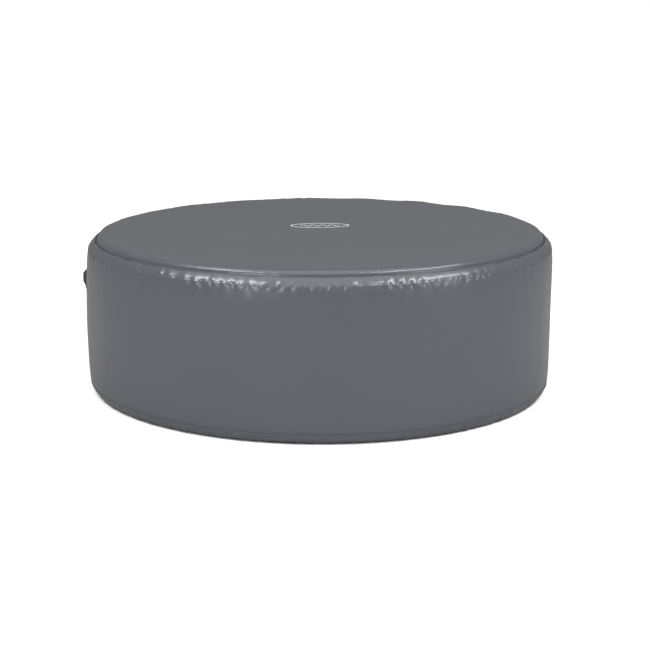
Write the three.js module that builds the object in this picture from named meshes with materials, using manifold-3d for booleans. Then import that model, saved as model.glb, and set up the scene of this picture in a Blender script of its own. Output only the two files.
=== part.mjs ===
// Covered inflatable hot tub: a round tub of welded PVC panels under a full-height lift-off cover.
// Units are millimetres, +Z is up and the origin is the middle of the underside of the ground mat.
// The back of the tub, where the heater unit is coupled, faces +Y.

import * as THREE from 'three';
import { mergeVertices } from 'three/addons/utils/BufferGeometryUtils.js';
import Module from 'manifold-3d';

const wasm = await Module();
wasm.setup();

// ---- driving dimensions ----

const GAP = 0.4; // left between pieces that touch
const RING_SIDES = 40; // facets round every large ring
const SMALL_SIDES = 16; // facets round every fitting

const COVER_RADIUS = 983;
const COVER_HEIGHT = 664;
const CREST_HEIGHT = 613; // where the shoulder turns into the wall
const CREST_RADIUS = 973;
const SEAM_RADIUS = 948; // top edge of the skirt
const SEAM_HEIGHT = 643;
const HEM_HEIGHT = 60; // where the skirt starts to turn in under the tub
const HEM_TIP_RADIUS = 945;
const HEM_TIP_HEIGHT = 4;
const HEM_BAND_TOP = 48;
const COVER_THICKNESS = 4;

const TUB_RADIUS = 934;
const POOL_RADIUS = 738;
const DECK_HEIGHT = 645;
const SHEET_THICKNESS = 4;
const MAT_RADIUS = 920;
const MAT_THICKNESS = 8;
const FLOOR_THICKNESS = 10;
const JET_COUNT = 20;
const FLOOR_BASE = MAT_THICKNESS + GAP;
const FLOOR_TOP = FLOOR_BASE + FLOOR_THICKNESS;

const CUTOUT_HALF_WIDTH = 310;
const CUTOUT_HEIGHT = 470;
const CUTOUT_CORNER = 90;
const BINDING_WIDTH = 20;
const TRIM_THICKNESS = 2.5;

const LID_RADIUS = 722;
const LID_BASE = 586;
const LID_TOP = COVER_HEIGHT - COVER_THICKNESS - GAP;

const PORT_SPACING = 130; // inlet and outlet, either side of the middle
const PORT_HEIGHT = 170;
const PORT_FLANGE_PLANE = 937;
const PORT_END = 972;
const AIR_PORT_HEIGHT = 330;
const DRAIN_X = 235;
const DRAIN_HEIGHT = 92;
const INFLATE_X = -235;
const INFLATE_HEIGHT = 280;
const LID_VALVE_Y = -420;

const HANDLE_BASE_RADIUS = 984;
const HANDLE_LOW = 403;
const HANDLE_HIGH = 493;

// ---- materials ----

function finish(colour, roughness) {
  return new THREE.MeshStandardMaterial({ color: colour, roughness, metalness: 0 });
}

const coverVinyl = finish(0x6c6d72, 0.55);
const coverTrim = finish(0x5c5d61, 0.6);
const tubOuterVinyl = finish(0x4b4d52, 0.5);
const tubInnerVinyl = finish(0xb9bec2, 0.4);
const webVinyl = finish(0xd5d7d8, 0.6);
const matFoam = finish(0x3f6f8c, 0.8);
const lidVinyl = finish(0xaeb2b6, 0.45);
const fittingPlastic = finish(0x2a2b2d, 0.5);
const paleFitting = finish(0xd9dadb, 0.45);
const gasketRubber = finish(0x18181a, 0.8);
const handleRubber = finish(0x111112, 0.6);
const badgeInk = finish(0xe8e8e8, 0.6);

// ---- helpers: solids ----

/** Merge shared vertices, drop the collapsed triangles at a lathe's axis, and keep position only. */
function welded(geometry) {
  const plain = geometry.clone();
  plain.deleteAttribute('normal');
  plain.deleteAttribute('uv');
  const merged = mergeVertices(plain, 1e-3);
  const index = merged.index.array;
  const kept = [];
  for (let i = 0; i < index.length; i += 3) {
    const [a, b, c] = [index[i], index[i + 1], index[i + 2]];
    if (a !== b && b !== c && c !== a) kept.push(a, b, c);
  }
  merged.setIndex(kept);
  return merged;
}

function toSolid(geometry) {
  const mesh = welded(geometry);
  return new wasm.Manifold(new wasm.Mesh({
    numProp: 3,
    vertProperties: new Float32Array(mesh.attributes.position.array),
    triVerts: new Uint32Array(mesh.index.array),
  }));
}

function toGeometry(solid) {
  const mesh = solid.getMesh();
  const geometry = new THREE.BufferGeometry();
  geometry.setAttribute('position', new THREE.BufferAttribute(new Float32Array(mesh.vertProperties), 3));
  geometry.setIndex(new THREE.BufferAttribute(new Uint32Array(mesh.triVerts), 1));
  geometry.computeVertexNormals();
  return geometry;
}

/** The first geometry with every other one cut away from it. */
function cut(geometry, ...cutters) {
  let solid = toSolid(geometry);
  for (const cutter of cutters) solid = solid.subtract(toSolid(cutter));
  return toGeometry(solid);
}

function join(geometry, ...others) {
  let solid = toSolid(geometry);
  for (const other of others) solid = solid.add(toSolid(other));
  return toGeometry(solid);
}

function overlap(geometry, other) {
  return toGeometry(toSolid(geometry).intersect(toSolid(other)));
}

// ---- helpers: turned and extruded shapes ----

/** Turn a profile of [radius, height] points, drawn anticlockwise, about the tub's axis. */
function turned(profile, sides = RING_SIDES) {
  const points = profile.map(([radius, height]) => new THREE.Vector2(radius, height));
  return new THREE.LatheGeometry(points, sides).rotateX(Math.PI / 2);
}

/** The same, closed on itself: a ring that doesn't reach the axis. */
function ring(profile, sides = RING_SIDES) {
  return turned([...profile, profile[0]], sides);
}

/** Turn [radius, y] points about a line along +Y through (x, z): a fitting on the back wall. */
function fitting(profile, x, z, closed = true) {
  const loop = closed ? [...profile, profile[0]] : profile;
  const points = loop.map(([radius, y]) => new THREE.Vector2(radius, y));
  return new THREE.LatheGeometry(points, SMALL_SIDES).translate(x, 0, z);
}

/** A plain round bar along Y, used as a cutter or a blank. */
function bar(radius, yLow, yHigh, x, z) {
  return fitting([[0, yLow], [radius, yLow], [radius, yHigh], [0, yHigh]], x, z, false);
}

/** A tube along Y. */
function tube(inner, outer, yLow, yHigh, x, z) {
  return fitting([[inner, yLow], [outer, yLow], [outer, yHigh], [inner, yHigh]], x, z);
}

/** Move an open path sideways; positive is to its right, which is outwards on a path that goes up. */
function offsetPath(path, distance) {
  return path.map((point, i) => {
    const before = path[Math.max(i - 1, 0)];
    const after = path[Math.min(i + 1, path.length - 1)];
    const along = new THREE.Vector2(after[0] - before[0], after[1] - before[1]).normalize();
    return [point[0] + along.y * distance, point[1] - along.x * distance];
  });
}

/** A sheet bent along a path: its face is `lift` outside the path and it is `thickness` thick. */
function sheetRing(path, thickness, lift = 0) {
  const face = offsetPath(path, lift);
  const back = offsetPath(path, lift - thickness);
  return ring([...face, ...back.reverse()]);
}

/** Points of an elliptical arc in the radius-height plane, angles in degrees from +radius. */
function arc(centreRadius, centreHeight, radial, vertical, from, to, steps) {
  return Array.from({ length: steps + 1 }, (_, i) => {
    const angle = THREE.MathUtils.degToRad(from + ((to - from) * i) / steps);
    return [centreRadius + radial * Math.cos(angle), centreHeight + vertical * Math.sin(angle)];
  });
}

/** An arch, open at its foot, drawn in X and Z. */
function archShape(halfWidth, foot, height, corner) {
  const shape = new THREE.Shape();
  shape.moveTo(-halfWidth, foot);
  shape.lineTo(halfWidth, foot);
  shape.lineTo(halfWidth, height - corner);
  shape.absarc(halfWidth - corner, height - corner, corner, 0, Math.PI / 2, false);
  shape.absarc(-halfWidth + corner, height - corner, corner, Math.PI / 2, Math.PI, false);
  shape.closePath();
  return shape;
}

function archBlock(halfWidth, foot, height, corner) {
  const shape = archShape(halfWidth, foot, height, corner);
  const depth = { depth: 700, bevelEnabled: false, curveSegments: 6 };
  return new THREE.ExtrudeGeometry(shape, depth).rotateX(Math.PI / 2).translate(0, 1200, 0);
}

// ---- the assembly ----

const hotTub = new THREE.Group();

function add(name, geometry, material) {
  const mesh = new THREE.Mesh(geometry, material);
  mesh.name = name;
  hotTub.add(mesh);
}

// ---- the tub: floor, panels and air chamber ----

/** The outside of the tub from its foot round the wall to the edge of the top deck. */
const wallPath = [
  ...arc(TUB_RADIUS - 42, 70, 42, 70 - FLOOR_BASE, -90, 0, 3),
  ...arc(TUB_RADIUS - 55, 560, 55, 81, 0, 84, 3),
];

/** Everything inside the tub's outer surface, grown by a margin: the cutter that shapes saddles. */
function tubEnvelope(margin) {
  const path = offsetPath(wallPath, margin);
  return turned([[0, path[0][1]], ...path, [0, path[path.length - 1][1]]]);
}

function poolCylinder(radius) {
  return turned([[0, 0], [radius, 0], [radius, 700], [0, 700]]);
}

const fittingHoles = [
  [PORT_SPACING, PORT_HEIGHT, 36 + GAP],
  [-PORT_SPACING, PORT_HEIGHT, 36 + GAP],
  [0, AIR_PORT_HEIGHT, 24 + GAP],
  [DRAIN_X, DRAIN_HEIGHT, 22 + GAP],
];

function holeCutters(holes) {
  return holes.map(([x, z, radius]) => bar(radius, 600, 1000, x, z));
}

function groundMat() {
  return turned([[0, 0], [MAT_RADIUS, 0], [MAT_RADIUS, MAT_THICKNESS], [0, MAT_THICKNESS]]);
}

function tubFloor() {
  const radius = POOL_RADIUS + SHEET_THICKNESS;
  return turned([[0, FLOOR_BASE], [radius, FLOOR_BASE], [radius, FLOOR_TOP], [0, FLOOR_TOP]]);
}

function bottomRingPanel() {
  const inner = POOL_RADIUS + SHEET_THICKNESS + GAP;
  const outer = TUB_RADIUS - 42 - 2;
  const top = FLOOR_BASE + SHEET_THICKNESS;
  return ring([[inner, FLOOR_BASE], [outer, FLOOR_BASE], [outer, top], [inner, top]]);
}

function outerWallPanel() {
  const valveHole = [INFLATE_X, INFLATE_HEIGHT, 26 + GAP];
  return cut(sheetRing(wallPath, SHEET_THICKNESS), ...holeCutters([...fittingHoles, valveHole]));
}

/** The pool's own wall, from the floor to the foot of the rounded rim. */
function innerWallPanel() {
  const path = [[POOL_RADIUS, 590], [POOL_RADIUS, FLOOR_TOP + GAP]];
  return cut(sheetRing(path, SHEET_THICKNESS), ...holeCutters(fittingHoles));
}

/** The rounded rim between the two walls. */
function topDeckPanel() {
  const outerEdge = TUB_RADIUS - 55;
  const rim = [
    [outerEdge, DECK_HEIGHT - 3.6],
    [845, DECK_HEIGHT],
    ...arc(POOL_RADIUS + 60, 592.6, 60, 51, 90, 180, 3),
  ];
  return sheetRing(rim, SHEET_THICKNESS);
}

/** A web across the air chamber that stops the walls ballooning, with three air holes. */
function wallTensioner() {
  const low = 75;
  const high = 555;
  const inner = POOL_RADIUS + SHEET_THICKNESS + GAP;
  const outer = (TUB_RADIUS - SHEET_THICKNESS) * Math.cos(Math.PI / RING_SIDES) - GAP;
  const middle = (inner + outer) / 2;
  const shape = new THREE.Shape();
  shape.moveTo(inner, low);
  shape.lineTo(outer, low);
  shape.lineTo(outer, high);
  shape.lineTo(inner, high);
  shape.closePath();
  for (const height of [165, 315, 465]) {
    const hole = new THREE.Path();
    hole.absellipse(middle, height, 45, 45, 0, 2 * Math.PI, true);
    shape.holes.push(hole);
  }
  const web = new THREE.ExtrudeGeometry(shape, { depth: 3, bevelEnabled: false, curveSegments: 6 });
  return web.rotateX(Math.PI / 2).translate(0, 1.5, 0);
}

/** The perforated channel round the foot of the pool wall that blows the bubbles. */
function bubbleChannel() {
  const base = FLOOR_TOP + GAP;
  const wall = POOL_RADIUS - GAP;
  const body = ring([[702, base], [wall, base], [wall, 56], [722, 56], [706, 44]]);
  const hollow = ring([[705, base + 3], [wall - 3, base + 3], [wall - 3, 53], [723, 53], [709, 43]]);
  const feed = bar(14, 0, 1, 0, 0).rotateX(Math.PI / 2).scale(1, 1, 30).translate(0, 728, 70);
  const jets = Array.from({ length: JET_COUNT }, (_, i) => {
    const jet = new THREE.CylinderGeometry(3, 3, 14, 6).rotateZ(Math.PI / 2);
    const angle = ((i + 0.5) * 2 * Math.PI) / JET_COUNT;
    return jet.translate(704, 0, 34).rotateZ(angle);
  });
  return cut(body, hollow, feed, ...jets);
}

/** The duct that carries air from the air port down the pool wall to the bubble channel. */
function airRiser() {
  const back = POOL_RADIUS - 3;
  const front = 694;
  const foot = 56 + GAP;
  const head = AIR_PORT_HEIGHT + 44;
  const section = (inset) => {
    const shape = new THREE.Shape();
    shape.moveTo(-36 + inset, back - inset);
    shape.lineTo(-24 + inset, front + inset);
    shape.lineTo(24 - inset, front + inset);
    shape.lineTo(36 - inset, back - inset);
    shape.closePath();
    return shape;
  };
  const solidDuct = new THREE.ExtrudeGeometry(section(0), { depth: head - foot, bevelEnabled: false });
  const hollow = new THREE.ExtrudeGeometry(section(4), { depth: head - foot, bevelEnabled: false });
  const portHole = bar(24 + GAP, 715, 760, 0, AIR_PORT_HEIGHT);
  return cut(solidDuct.translate(0, 0, foot), hollow.translate(0, 0, foot - 4), portHole);
}

function addTub() {
  add('ground_mat', groundMat(), matFoam);
  add('tub_floor', tubFloor(), tubInnerVinyl);
  add('bottom_ring_panel', bottomRingPanel(), tubOuterVinyl);
  add('outer_wall_panel', outerWallPanel(), tubOuterVinyl);
  add('inner_wall_panel', innerWallPanel(), tubInnerVinyl);
  add('top_deck_panel', topDeckPanel(), tubInnerVinyl);
  for (let i = 0; i < 8; i += 1) {
    const web = wallTensioner().rotateZ(THREE.MathUtils.degToRad(22.5 + 45 * i));
    add(`wall_tensioner_${i + 1}`, web, webVinyl);
  }
  add('bubble_channel', bubbleChannel(), tubInnerVinyl);
  add('air_riser', airRiser(), tubInnerVinyl);
}

// ---- fittings through the back wall ----

/** The rubber wedge between a flat flange and the round outside of the tub. */
function outerSaddle(x, z, bore, radius, plane) {
  return cut(tube(bore + GAP, radius, 860, plane - GAP, x, z), tubEnvelope(GAP));
}

/** The same on the pool side. */
function innerSaddle(x, z, bore, radius, plane) {
  const blank = tube(bore + GAP, radius, plane + GAP, POOL_RADIUS + 20, x, z);
  return overlap(blank, poolCylinder(POOL_RADIUS - GAP));
}

/** A water coupling: a flanged spigot outside, and a tube that reaches into the pool. */
function waterCoupling(x) {
  const bore = 28;
  const profile = [
    [bore, 701], [36, 701], [36, PORT_FLANGE_PLANE], [54, PORT_FLANGE_PLANE],
    [54, PORT_FLANGE_PLANE + 8], [40, PORT_FLANGE_PLANE + 8], [40, PORT_END], [bore, PORT_END],
  ];
  return fitting(profile, x, PORT_HEIGHT);
}

/** A basket over the coupling's mouth in the pool, slotted across its face. */
function debrisScreen(x) {
  const rim = 699.6;
  const face = 672;
  const basket = fitting([
    [0, face], [41, face], [46, face + 6], [46, rim], [43, rim], [43, face + 8], [39, face + 3], [0, face + 3],
  ], x, PORT_HEIGHT, false);
  const slots = [-24, -12, 0, 12, 24].map((z) => {
    const length = 2 * Math.sqrt(32 * 32 - z * z);
    return new THREE.BoxGeometry(length, 12, 4).translate(x, face, PORT_HEIGHT + z);
  });
  return cut(basket, ...slots);
}

function addWaterPort(name, x) {
  const innerPlane = 712;
  add(`${name}_coupling`, waterCoupling(x), fittingPlastic);
  add(`${name}_outer_saddle`, outerSaddle(x, PORT_HEIGHT, 36, 54, PORT_FLANGE_PLANE), gasketRubber);
  add(`${name}_inner_saddle`, innerSaddle(x, PORT_HEIGHT, 36, 50, innerPlane), gasketRubber);
  add(`${name}_lock_nut`, tube(36 + GAP, 50, 701, innerPlane, x, PORT_HEIGHT), paleFitting);
  add(`${name}_debris_screen`, debrisScreen(x), paleFitting);
}

function airCoupling() {
  const bore = 18;
  return fitting([
    [bore, 722], [24, 722], [24, PORT_FLANGE_PLANE], [40, PORT_FLANGE_PLANE],
    [40, PORT_FLANGE_PLANE + 7], [28, PORT_FLANGE_PLANE + 7], [28, PORT_END], [bore, PORT_END],
  ], 0, AIR_PORT_HEIGHT);
}

function drainCoupling() {
  const plane = 914;
  return fitting([
    [16, 672], [22, 672], [22, plane], [34, plane],
    [34, plane + 6], [22, plane + 6], [22, plane + 30], [16, plane + 30],
  ], DRAIN_X, DRAIN_HEIGHT);
}

function drainCap() {
  return fitting([
    [0, 946], [23.4, 946], [23.4, 926], [28, 926], [28, 948], [24, 952], [0, 952],
  ], DRAIN_X, DRAIN_HEIGHT, false);
}

/** The stopper that is pulled out of the drain from inside the pool. */
function drainPlug() {
  return fitting([
    [0, 652], [8, 652], [8, 662], [26, 662], [26, 671], [15, 671], [15, 706], [12, 710], [0, 710],
  ], DRAIN_X, DRAIN_HEIGHT, false);
}

const INFLATE_PLANE = 918;

/** The cup of the inflation valve, with its flange shaped to the wall and a hole for the stem. */
function inflationValveBody() {
  const flange = cut(bar(38, 870, INFLATE_PLANE, INFLATE_X, INFLATE_HEIGHT), tubEnvelope(GAP));
  const cup = bar(26, 868, INFLATE_PLANE, INFLATE_X, INFLATE_HEIGHT);
  const hollow = bar(21, 873, 930, INFLATE_X, INFLATE_HEIGHT);
  const stemHole = bar(5, 860, 880, INFLATE_X, INFLATE_HEIGHT);
  return cut(join(flange, cup), hollow, stemHole);
}

/** The sprung stem: a button in the cup and a disc that shuts against the cup's back. */
function inflationValveStem() {
  return fitting([
    [0, 860], [11, 860], [11, 867.4], [4, 867.4], [4, 896], [8, 896], [8, 902], [0, 902],
  ], INFLATE_X, INFLATE_HEIGHT, false);
}

function inflationValveCap() {
  const face = INFLATE_PLANE + GAP;
  const disc = fitting([
    [0, face], [34, face], [34, face + 5], [30, face + 7], [0, face + 7],
  ], INFLATE_X, INFLATE_HEIGHT, false);
  const knuckle = new THREE.CylinderGeometry(3.5, 3.5, 26, 10).rotateZ(Math.PI / 2);
  const web = new THREE.BoxGeometry(26, 5, 8).translate(INFLATE_X, face + 3.5, INFLATE_HEIGHT + 36);
  return join(disc, web, knuckle.translate(INFLATE_X, face + 3.5, INFLATE_HEIGHT + 41));
}

function addFittings() {
  addWaterPort('inlet', PORT_SPACING);
  addWaterPort('outlet', -PORT_SPACING);
  add('air_coupling', airCoupling(), fittingPlastic);
  add('air_outer_saddle', outerSaddle(0, AIR_PORT_HEIGHT, 24, 40, PORT_FLANGE_PLANE), gasketRubber);
  add('drain_coupling', drainCoupling(), fittingPlastic);
  add('drain_outer_saddle', outerSaddle(DRAIN_X, DRAIN_HEIGHT, 22, 34, 914), gasketRubber);
  add('drain_lock_nut', tube(22 + GAP, 32, 673, 684, DRAIN_X, DRAIN_HEIGHT), paleFitting);
  add('drain_cap', drainCap(), fittingPlastic);
  add('drain_plug', drainPlug(), paleFitting);
  add('inflation_valve_body', inflationValveBody(), fittingPlastic);
  add('inflation_valve_stem', inflationValveStem(), paleFitting);
  add('inflation_valve_cap', inflationValveCap(), fittingPlastic);
}

// ---- the cover ----

/** The outside of the skirt, from the tucked-in hem up the wall to the seam with the top panel. */
const skirtPath = [
  ...arc(HEM_TIP_RADIUS, HEM_HEIGHT, 978 - HEM_TIP_RADIUS, HEM_HEIGHT - HEM_TIP_HEIGHT, -90, 0, 4),
  [COVER_RADIUS, 330],
  [COVER_RADIUS - 1, 470],
  [COVER_RADIUS - 4, 560],
  [CREST_RADIUS, CREST_HEIGHT],
  [(CREST_RADIUS + SEAM_RADIUS) / 2 + 2, (CREST_HEIGHT + SEAM_HEIGHT) / 2 + 2],
  [SEAM_RADIUS, SEAM_HEIGHT],
];

function coverTopPanel() {
  const top = COVER_HEIGHT;
  const under = top - COVER_THICKNESS;
  return turned([
    [0, under], [922, under], [930, under - 3], [935, under - 10], [935, under - 20],
    [939, under - 20], [939, under - 8], [933, under], [924, top], [0, top],
  ]);
}

function cutout() {
  return archBlock(CUTOUT_HALF_WIDTH, -20, CUTOUT_HEIGHT, CUTOUT_CORNER);
}

function coverSkirt() {
  return cut(sheetRing(skirtPath, COVER_THICKNESS), cutout());
}

/** The raised bead where the top panel is welded to the skirt. */
function seamPiping() {
  return ring(arc(943.2, SEAM_HEIGHT + 4.4, 3, 3, 0, 288, 4));
}

/** The doubled band of cover material along the bottom edge, cut away with the heater cut-out. */
function hemBand() {
  const path = skirtPath.filter(([, height]) => height < HEM_BAND_TOP);
  return cut(sheetRing(path, TRIM_THICKNESS, TRIM_THICKNESS + GAP), cutout());
}

/** The binding sewn round the edge of the cut-out, above the hem band. */
function cutoutBinding() {
  const outside = archBlock(
    CUTOUT_HALF_WIDTH + BINDING_WIDTH, HEM_BAND_TOP + 10, CUTOUT_HEIGHT + BINDING_WIDTH,
    CUTOUT_CORNER + BINDING_WIDTH,
  );
  const path = skirtPath.filter(([, height]) => height > HEM_BAND_TOP && height < CREST_HEIGHT);
  const layer = sheetRing(path, TRIM_THICKNESS, TRIM_THICKNESS + GAP);
  return cut(overlap(layer, outside), cutout());
}

/** A plain oval outline printed on the top panel, as a thin raised ring. */
function badge() {
  const shape = new THREE.Shape();
  shape.absellipse(0, 0, 124, 56, 0, 2 * Math.PI, false);
  const hole = new THREE.Path();
  hole.absellipse(0, 0, 118, 50, 0, 2 * Math.PI, true);
  shape.holes.push(hole);
  const outline = new THREE.ExtrudeGeometry(shape, { depth: 0.6, bevelEnabled: false, curveSegments: 16 });
  return outline.translate(0, 76, COVER_HEIGHT + GAP);
}

// ---- the inflatable lid inside the cover ----

function roundedDisc(radius, low, high, edge) {
  const middle = (low + high) / 2;
  return turned([
    [0, low], [radius - edge, low], [radius - edge * 0.3, low + edge * 0.3], [radius, middle],
    [radius - edge * 0.3, high - edge * 0.3], [radius - edge, high], [0, high],
  ]);
}

function lidBladder() {
  const skin = SHEET_THICKNESS;
  const outside = roundedDisc(LID_RADIUS, LID_BASE, LID_TOP, 30);
  const inside = roundedDisc(LID_RADIUS - skin, LID_BASE + skin, LID_TOP - skin, 30);
  const hole = new THREE.CylinderGeometry(12 + GAP, 12 + GAP, 40, SMALL_SIDES).rotateX(Math.PI / 2);
  return cut(outside, inside, hole.translate(0, LID_VALVE_Y, LID_BASE));
}

/** A strap from the top panel, down past the lid's edge and under it. */
function lidTab() {
  const outside = LID_RADIUS + 6;
  const inside = LID_RADIUS + 3;
  const shape = new THREE.Shape();
  shape.moveTo(outside, LID_TOP);
  shape.lineTo(inside, LID_TOP);
  shape.lineTo(inside, LID_BASE - GAP);
  shape.lineTo(640, LID_BASE - GAP);
  shape.lineTo(640, LID_BASE - GAP - 3);
  shape.lineTo(outside, LID_BASE - GAP - 3);
  shape.closePath();
  const strap = new THREE.ExtrudeGeometry(shape, { depth: 60, bevelEnabled: false });
  return strap.rotateX(Math.PI / 2).translate(0, 30, 0);
}

function lidValveBody() {
  const profile = [
    [8, LID_BASE - 4], [24, LID_BASE - 4], [24, LID_BASE - GAP], [12, LID_BASE - GAP],
    [12, LID_BASE + 20], [8, LID_BASE + 20],
  ];
  return ring(profile, SMALL_SIDES).translate(0, LID_VALVE_Y, 0);
}

function lidValveCap() {
  const top = LID_BASE - 4 - GAP;
  const disc = turned([[0, top - 6], [13, top - 6], [16, top - 4], [16, top], [0, top]], SMALL_SIDES);
  const tag = new THREE.BoxGeometry(14, 12, 3).translate(0, 19, top - 3);
  return join(disc, tag).translate(0, LID_VALVE_Y, 0);
}

// ---- the lift handles ----

/** A sector of a ring in plan, between two radii, extruded upwards. */
function curvedPad(inner, outer, from, to, low, high) {
  const shape = new THREE.Shape();
  const start = THREE.MathUtils.degToRad(from);
  const end = THREE.MathUtils.degToRad(to);
  shape.absarc(0, 0, outer, start, end, false);
  shape.absarc(0, 0, inner, end, start, true);
  shape.closePath();
  const pad = new THREE.ExtrudeGeometry(shape, { depth: high - low, bevelEnabled: false, curveSegments: 6 });
  return pad.translate(0, 0, low);
}

/** The backing of a handle: a plate on the skirt with a thick pad at each end. */
function handleBase() {
  const plate = curvedPad(HANDLE_BASE_RADIUS, HANDLE_BASE_RADIUS + 3, -7.5, 7.5, HANDLE_LOW, HANDLE_HIGH);
  const padOuter = HANDLE_BASE_RADIUS + 13;
  const pads = [[-7.3, -5], [5, 7.3]].map(([from, to]) => (
    curvedPad(HANDLE_BASE_RADIUS + 1, padOuter, from, to, HANDLE_LOW + 12, HANDLE_HIGH - 4)));
  return join(plate, ...pads);
}

/** The grip that bridges the two pads, with room for fingers behind it. */
function handleGrip() {
  const seat = HANDLE_BASE_RADIUS + 13 + GAP;
  const outline = [
    [seat, -6.8], [seat + 7, -6.4], [seat + 14.5, -4.6], [seat + 15.5, 0], [seat + 14.5, 4.6],
    [seat + 7, 6.4], [seat, 6.8], [seat, 5.2], [seat + 5.5, 4], [seat + 6, 0],
    [seat + 5.5, -4], [seat, -5.2],
  ];
  const points = outline.map(([radius, degrees]) => {
    const angle = THREE.MathUtils.degToRad(degrees);
    return new THREE.Vector2(radius * Math.cos(angle), radius * Math.sin(angle));
  });
  const grip = new THREE.ExtrudeGeometry(new THREE.Shape(points), { depth: 44, bevelEnabled: false });
  return grip.translate(0, 0, 430);
}

function addHandle(side, azimuth) {
  const angle = THREE.MathUtils.degToRad(azimuth);
  add(`handle_base_${side}`, handleBase().rotateZ(angle), handleRubber);
  add(`handle_grip_${side}`, handleGrip().rotateZ(angle), handleRubber);
}

function addCover() {
  add('cover_top_panel', coverTopPanel(), coverVinyl);
  add('cover_skirt', coverSkirt(), coverVinyl);
  add('seam_piping', seamPiping(), coverTrim);
  add('hem_band', hemBand(), coverTrim);
  add('cutout_binding', cutoutBinding(), coverTrim);
  add('badge_outline', badge(), badgeInk);
  add('lid_bladder', lidBladder(), lidVinyl);
  for (let i = 0; i < 4; i += 1) {
    const strap = lidTab().rotateZ(THREE.MathUtils.degToRad(45 + 90 * i));
    add(`lid_strap_${i + 1}`, strap, coverTrim);
  }
  add('lid_valve_body', lidValveBody(), paleFitting);
  add('lid_valve_cap', lidValveCap(), paleFitting);
  addHandle('left', 176);
  addHandle('right', 14);
}

addTub();
addFittings();
addCover();

export default hotTub;
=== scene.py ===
"""Covered inflatable hot tub: the looks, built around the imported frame. Units are metres, +Z is up."""
import math

import bmesh
import bpy
import numpy as np
from mathutils import Matrix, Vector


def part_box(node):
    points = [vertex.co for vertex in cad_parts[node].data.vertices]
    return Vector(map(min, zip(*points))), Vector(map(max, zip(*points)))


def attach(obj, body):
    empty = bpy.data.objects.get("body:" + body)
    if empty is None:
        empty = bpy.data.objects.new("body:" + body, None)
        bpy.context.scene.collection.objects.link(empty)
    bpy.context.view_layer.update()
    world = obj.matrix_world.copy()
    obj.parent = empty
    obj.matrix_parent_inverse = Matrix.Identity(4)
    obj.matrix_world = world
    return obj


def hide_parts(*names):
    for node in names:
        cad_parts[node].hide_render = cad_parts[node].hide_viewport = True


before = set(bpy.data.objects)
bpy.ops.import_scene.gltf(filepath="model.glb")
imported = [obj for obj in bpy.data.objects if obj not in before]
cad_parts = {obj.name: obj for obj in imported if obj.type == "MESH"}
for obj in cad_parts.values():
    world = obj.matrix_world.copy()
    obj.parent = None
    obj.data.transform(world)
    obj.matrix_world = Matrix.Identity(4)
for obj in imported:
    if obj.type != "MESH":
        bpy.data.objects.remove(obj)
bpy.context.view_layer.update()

TAU = 2 * math.pi

# ---- camera: a long lens a little above the rim, looking at the front ----

CAMERA_DISTANCE = 6.963
CAMERA_HEIGHT = 1.820
CAMERA_PITCH = 0.2222
CAMERA_YAW = -0.0034
CAMERA_ROLL = 0.0046
SENSOR_WIDTH = 36.0
LENS = 91.83


def add_camera():
    data = bpy.data.cameras.new("camera")
    data.sensor_width = SENSOR_WIDTH
    data.lens = LENS
    camera = bpy.data.objects.new("camera", data)
    bpy.context.scene.collection.objects.link(camera)
    turn = Matrix.Rotation(CAMERA_YAW, 4, "Z") @ Matrix.Rotation(math.pi / 2 - CAMERA_PITCH, 4, "X")
    place = Matrix.Translation((0, -CAMERA_DISTANCE, CAMERA_HEIGHT))
    camera.matrix_world = place @ turn @ Matrix.Rotation(CAMERA_ROLL, 4, "Z")
    bpy.context.scene.camera = camera


# ---- measures shared by several pieces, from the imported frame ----

COVER_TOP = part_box("cover_top_panel")[1][2]
SKIRT_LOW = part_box("cover_skirt")[0][2]
SEAM_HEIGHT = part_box("cover_skirt")[1][2]
PANEL_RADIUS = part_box("cover_top_panel")[1][0]
WALL_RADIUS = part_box("cover_skirt")[1][0] + 0.001
TUB_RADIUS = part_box("outer_wall_panel")[1][0]
POOL_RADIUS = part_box("inner_wall_panel")[1][0] - 0.004
FLOOR_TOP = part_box("tub_floor")[1][2]
LID_LOW, LID_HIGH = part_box("lid_bladder")[0][2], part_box("lid_bladder")[1][2]
LID_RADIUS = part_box("lid_bladder")[1][0]

CREST_HEIGHT = 0.606
CREST_RADIUS = 0.9755
HEM_TURN = 0.076  # height where the skirt starts to turn in
HEM_TIP = 0.945
HEM_BAND_TOP = 0.046
CUTOUT_HALF = 0.310
CUTOUT_TOP = 0.470
CUTOUT_CORNER = 0.090
HANDLE_SEAT = 0.984  # radius of the skirt under the handles
PORT_PLANE = 0.937  # where the flanges of the hose couplings sit on the wall
STITCH_COUNT = 560
STRAP_HALF = 0.030
LIGHT_DISTANCE = 5.0
FLOOR_SIZE = 600


# ---- mesh helpers ----

def make_object(name, verts, faces, sharp=40):
    mesh = bpy.data.meshes.new(name)
    mesh.from_pydata([tuple(v) for v in verts], [], [tuple(f) for f in faces])
    mesh.update()
    piece = bpy.data.objects.new(name, mesh)
    bpy.context.scene.collection.objects.link(piece)
    mesh.shade_smooth()
    mesh.set_sharp_from_angle(angle=math.radians(sharp))
    return piece


def face_outwards(piece, sharp=40):
    """Point a closed mesh's faces out."""
    work = bmesh.new()
    work.from_mesh(piece.data)
    bmesh.ops.remove_doubles(work, verts=work.verts, dist=1e-6)
    bmesh.ops.recalc_face_normals(work, faces=work.faces)
    work.to_mesh(piece.data)
    work.free()
    piece.data.shade_smooth()
    piece.data.set_sharp_from_angle(angle=math.radians(sharp))
    return piece


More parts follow.
